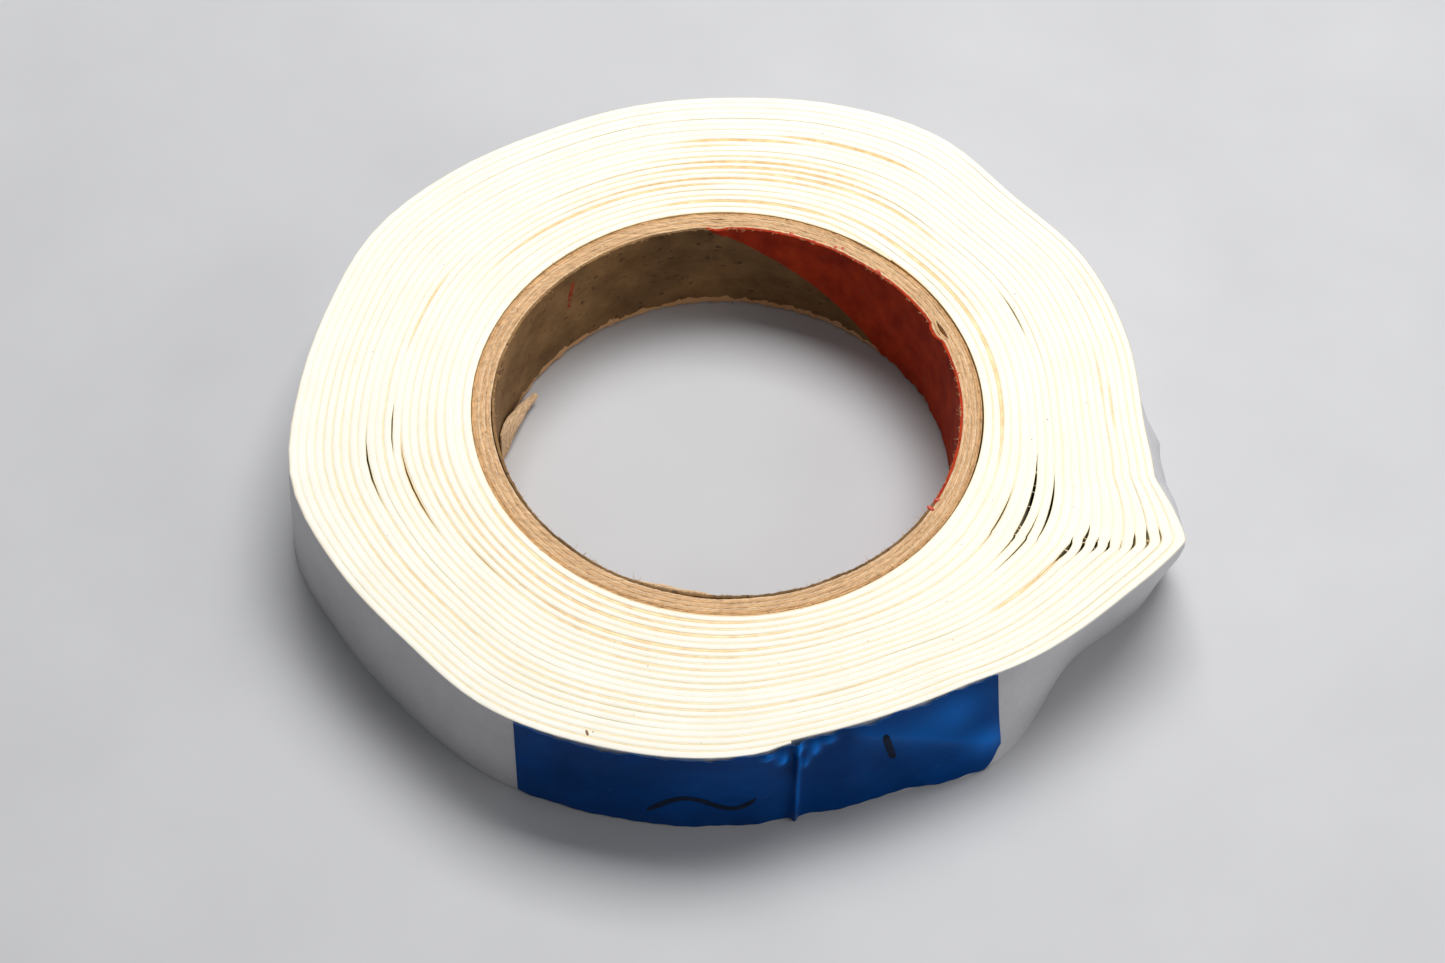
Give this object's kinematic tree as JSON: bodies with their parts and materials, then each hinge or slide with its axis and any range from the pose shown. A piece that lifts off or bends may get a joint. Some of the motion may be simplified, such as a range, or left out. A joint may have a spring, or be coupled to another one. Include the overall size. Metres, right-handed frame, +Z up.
{
  "type": "double sided foam tape roll",
  "caption": "Roll of white double-sided foam mounting tape on a paper core, squashed out of round, its tail held down by a strip of blue film that peels off.",
  "frame": {"origin": "on the bore's axis, in the plane the roll lies on", "axes": "+Z up along the bore's axis; the tape's end is on the -Y side and the crease points to +X, a little towards -Y"},
  "size_m": [0.1431, 0.1372, 0.02],
  "materials": {
    "core_liner": "matte",
    "core_ply": "matte",
    "core_outer": "matte",
    "foam": "matte",
    "adhesive": "satin",
    "release_liner": "satin",
    "blue_film": "gloss",
    "film_adhesive": "gloss"
  },
  "bodies": {
    "roll": {"core_liner_ply": "core_liner", "core_ply_1": "core_ply", "core_ply_2": "core_ply", "core_ply_3": "core_ply", "core_ply_4": "core_ply", "core_ply_5": "core_ply", "core_ply_6": "core_ply", "core_outer_ply": "core_outer", "tape_adhesive_inner": "adhesive", "tape_foam": "foam", "tape_adhesive_outer": "adhesive", "tape_liner": "release_liner"},
    "tail": {"tail_adhesive_inner": "adhesive", "tail_foam": "foam", "tail_adhesive_outer": "adhesive", "tail_liner": "release_liner"},
    "liner": {"liner_flap": "release_liner", "closing_film": "blue_film", "closing_film_adhesive": "film_adhesive"},
    "tab": {"film_tab": "blue_film", "film_tab_adhesive": "film_adhesive"}
  },
  "joints": [
    {"name": "tail_lift", "type": "hinge", "parent": "roll", "child": "tail", "pos_m": [-0.04571, -0.05077, 0.01], "axis": [0, 0, -1], "range_deg": [0, 60]},
    {"name": "liner_peel", "type": "hinge", "parent": "tail", "child": "liner", "pos_m": [-0.03464, -0.06, 0.01], "axis": [0, 0, -1], "range_deg": [0, 75]},
    {"name": "tab_peel", "type": "hinge", "parent": "liner", "child": "tab", "pos_m": [0.01149, -0.06517, 0.01], "axis": [0, 0, -1], "range_deg": [0, 135]}
  ]
}
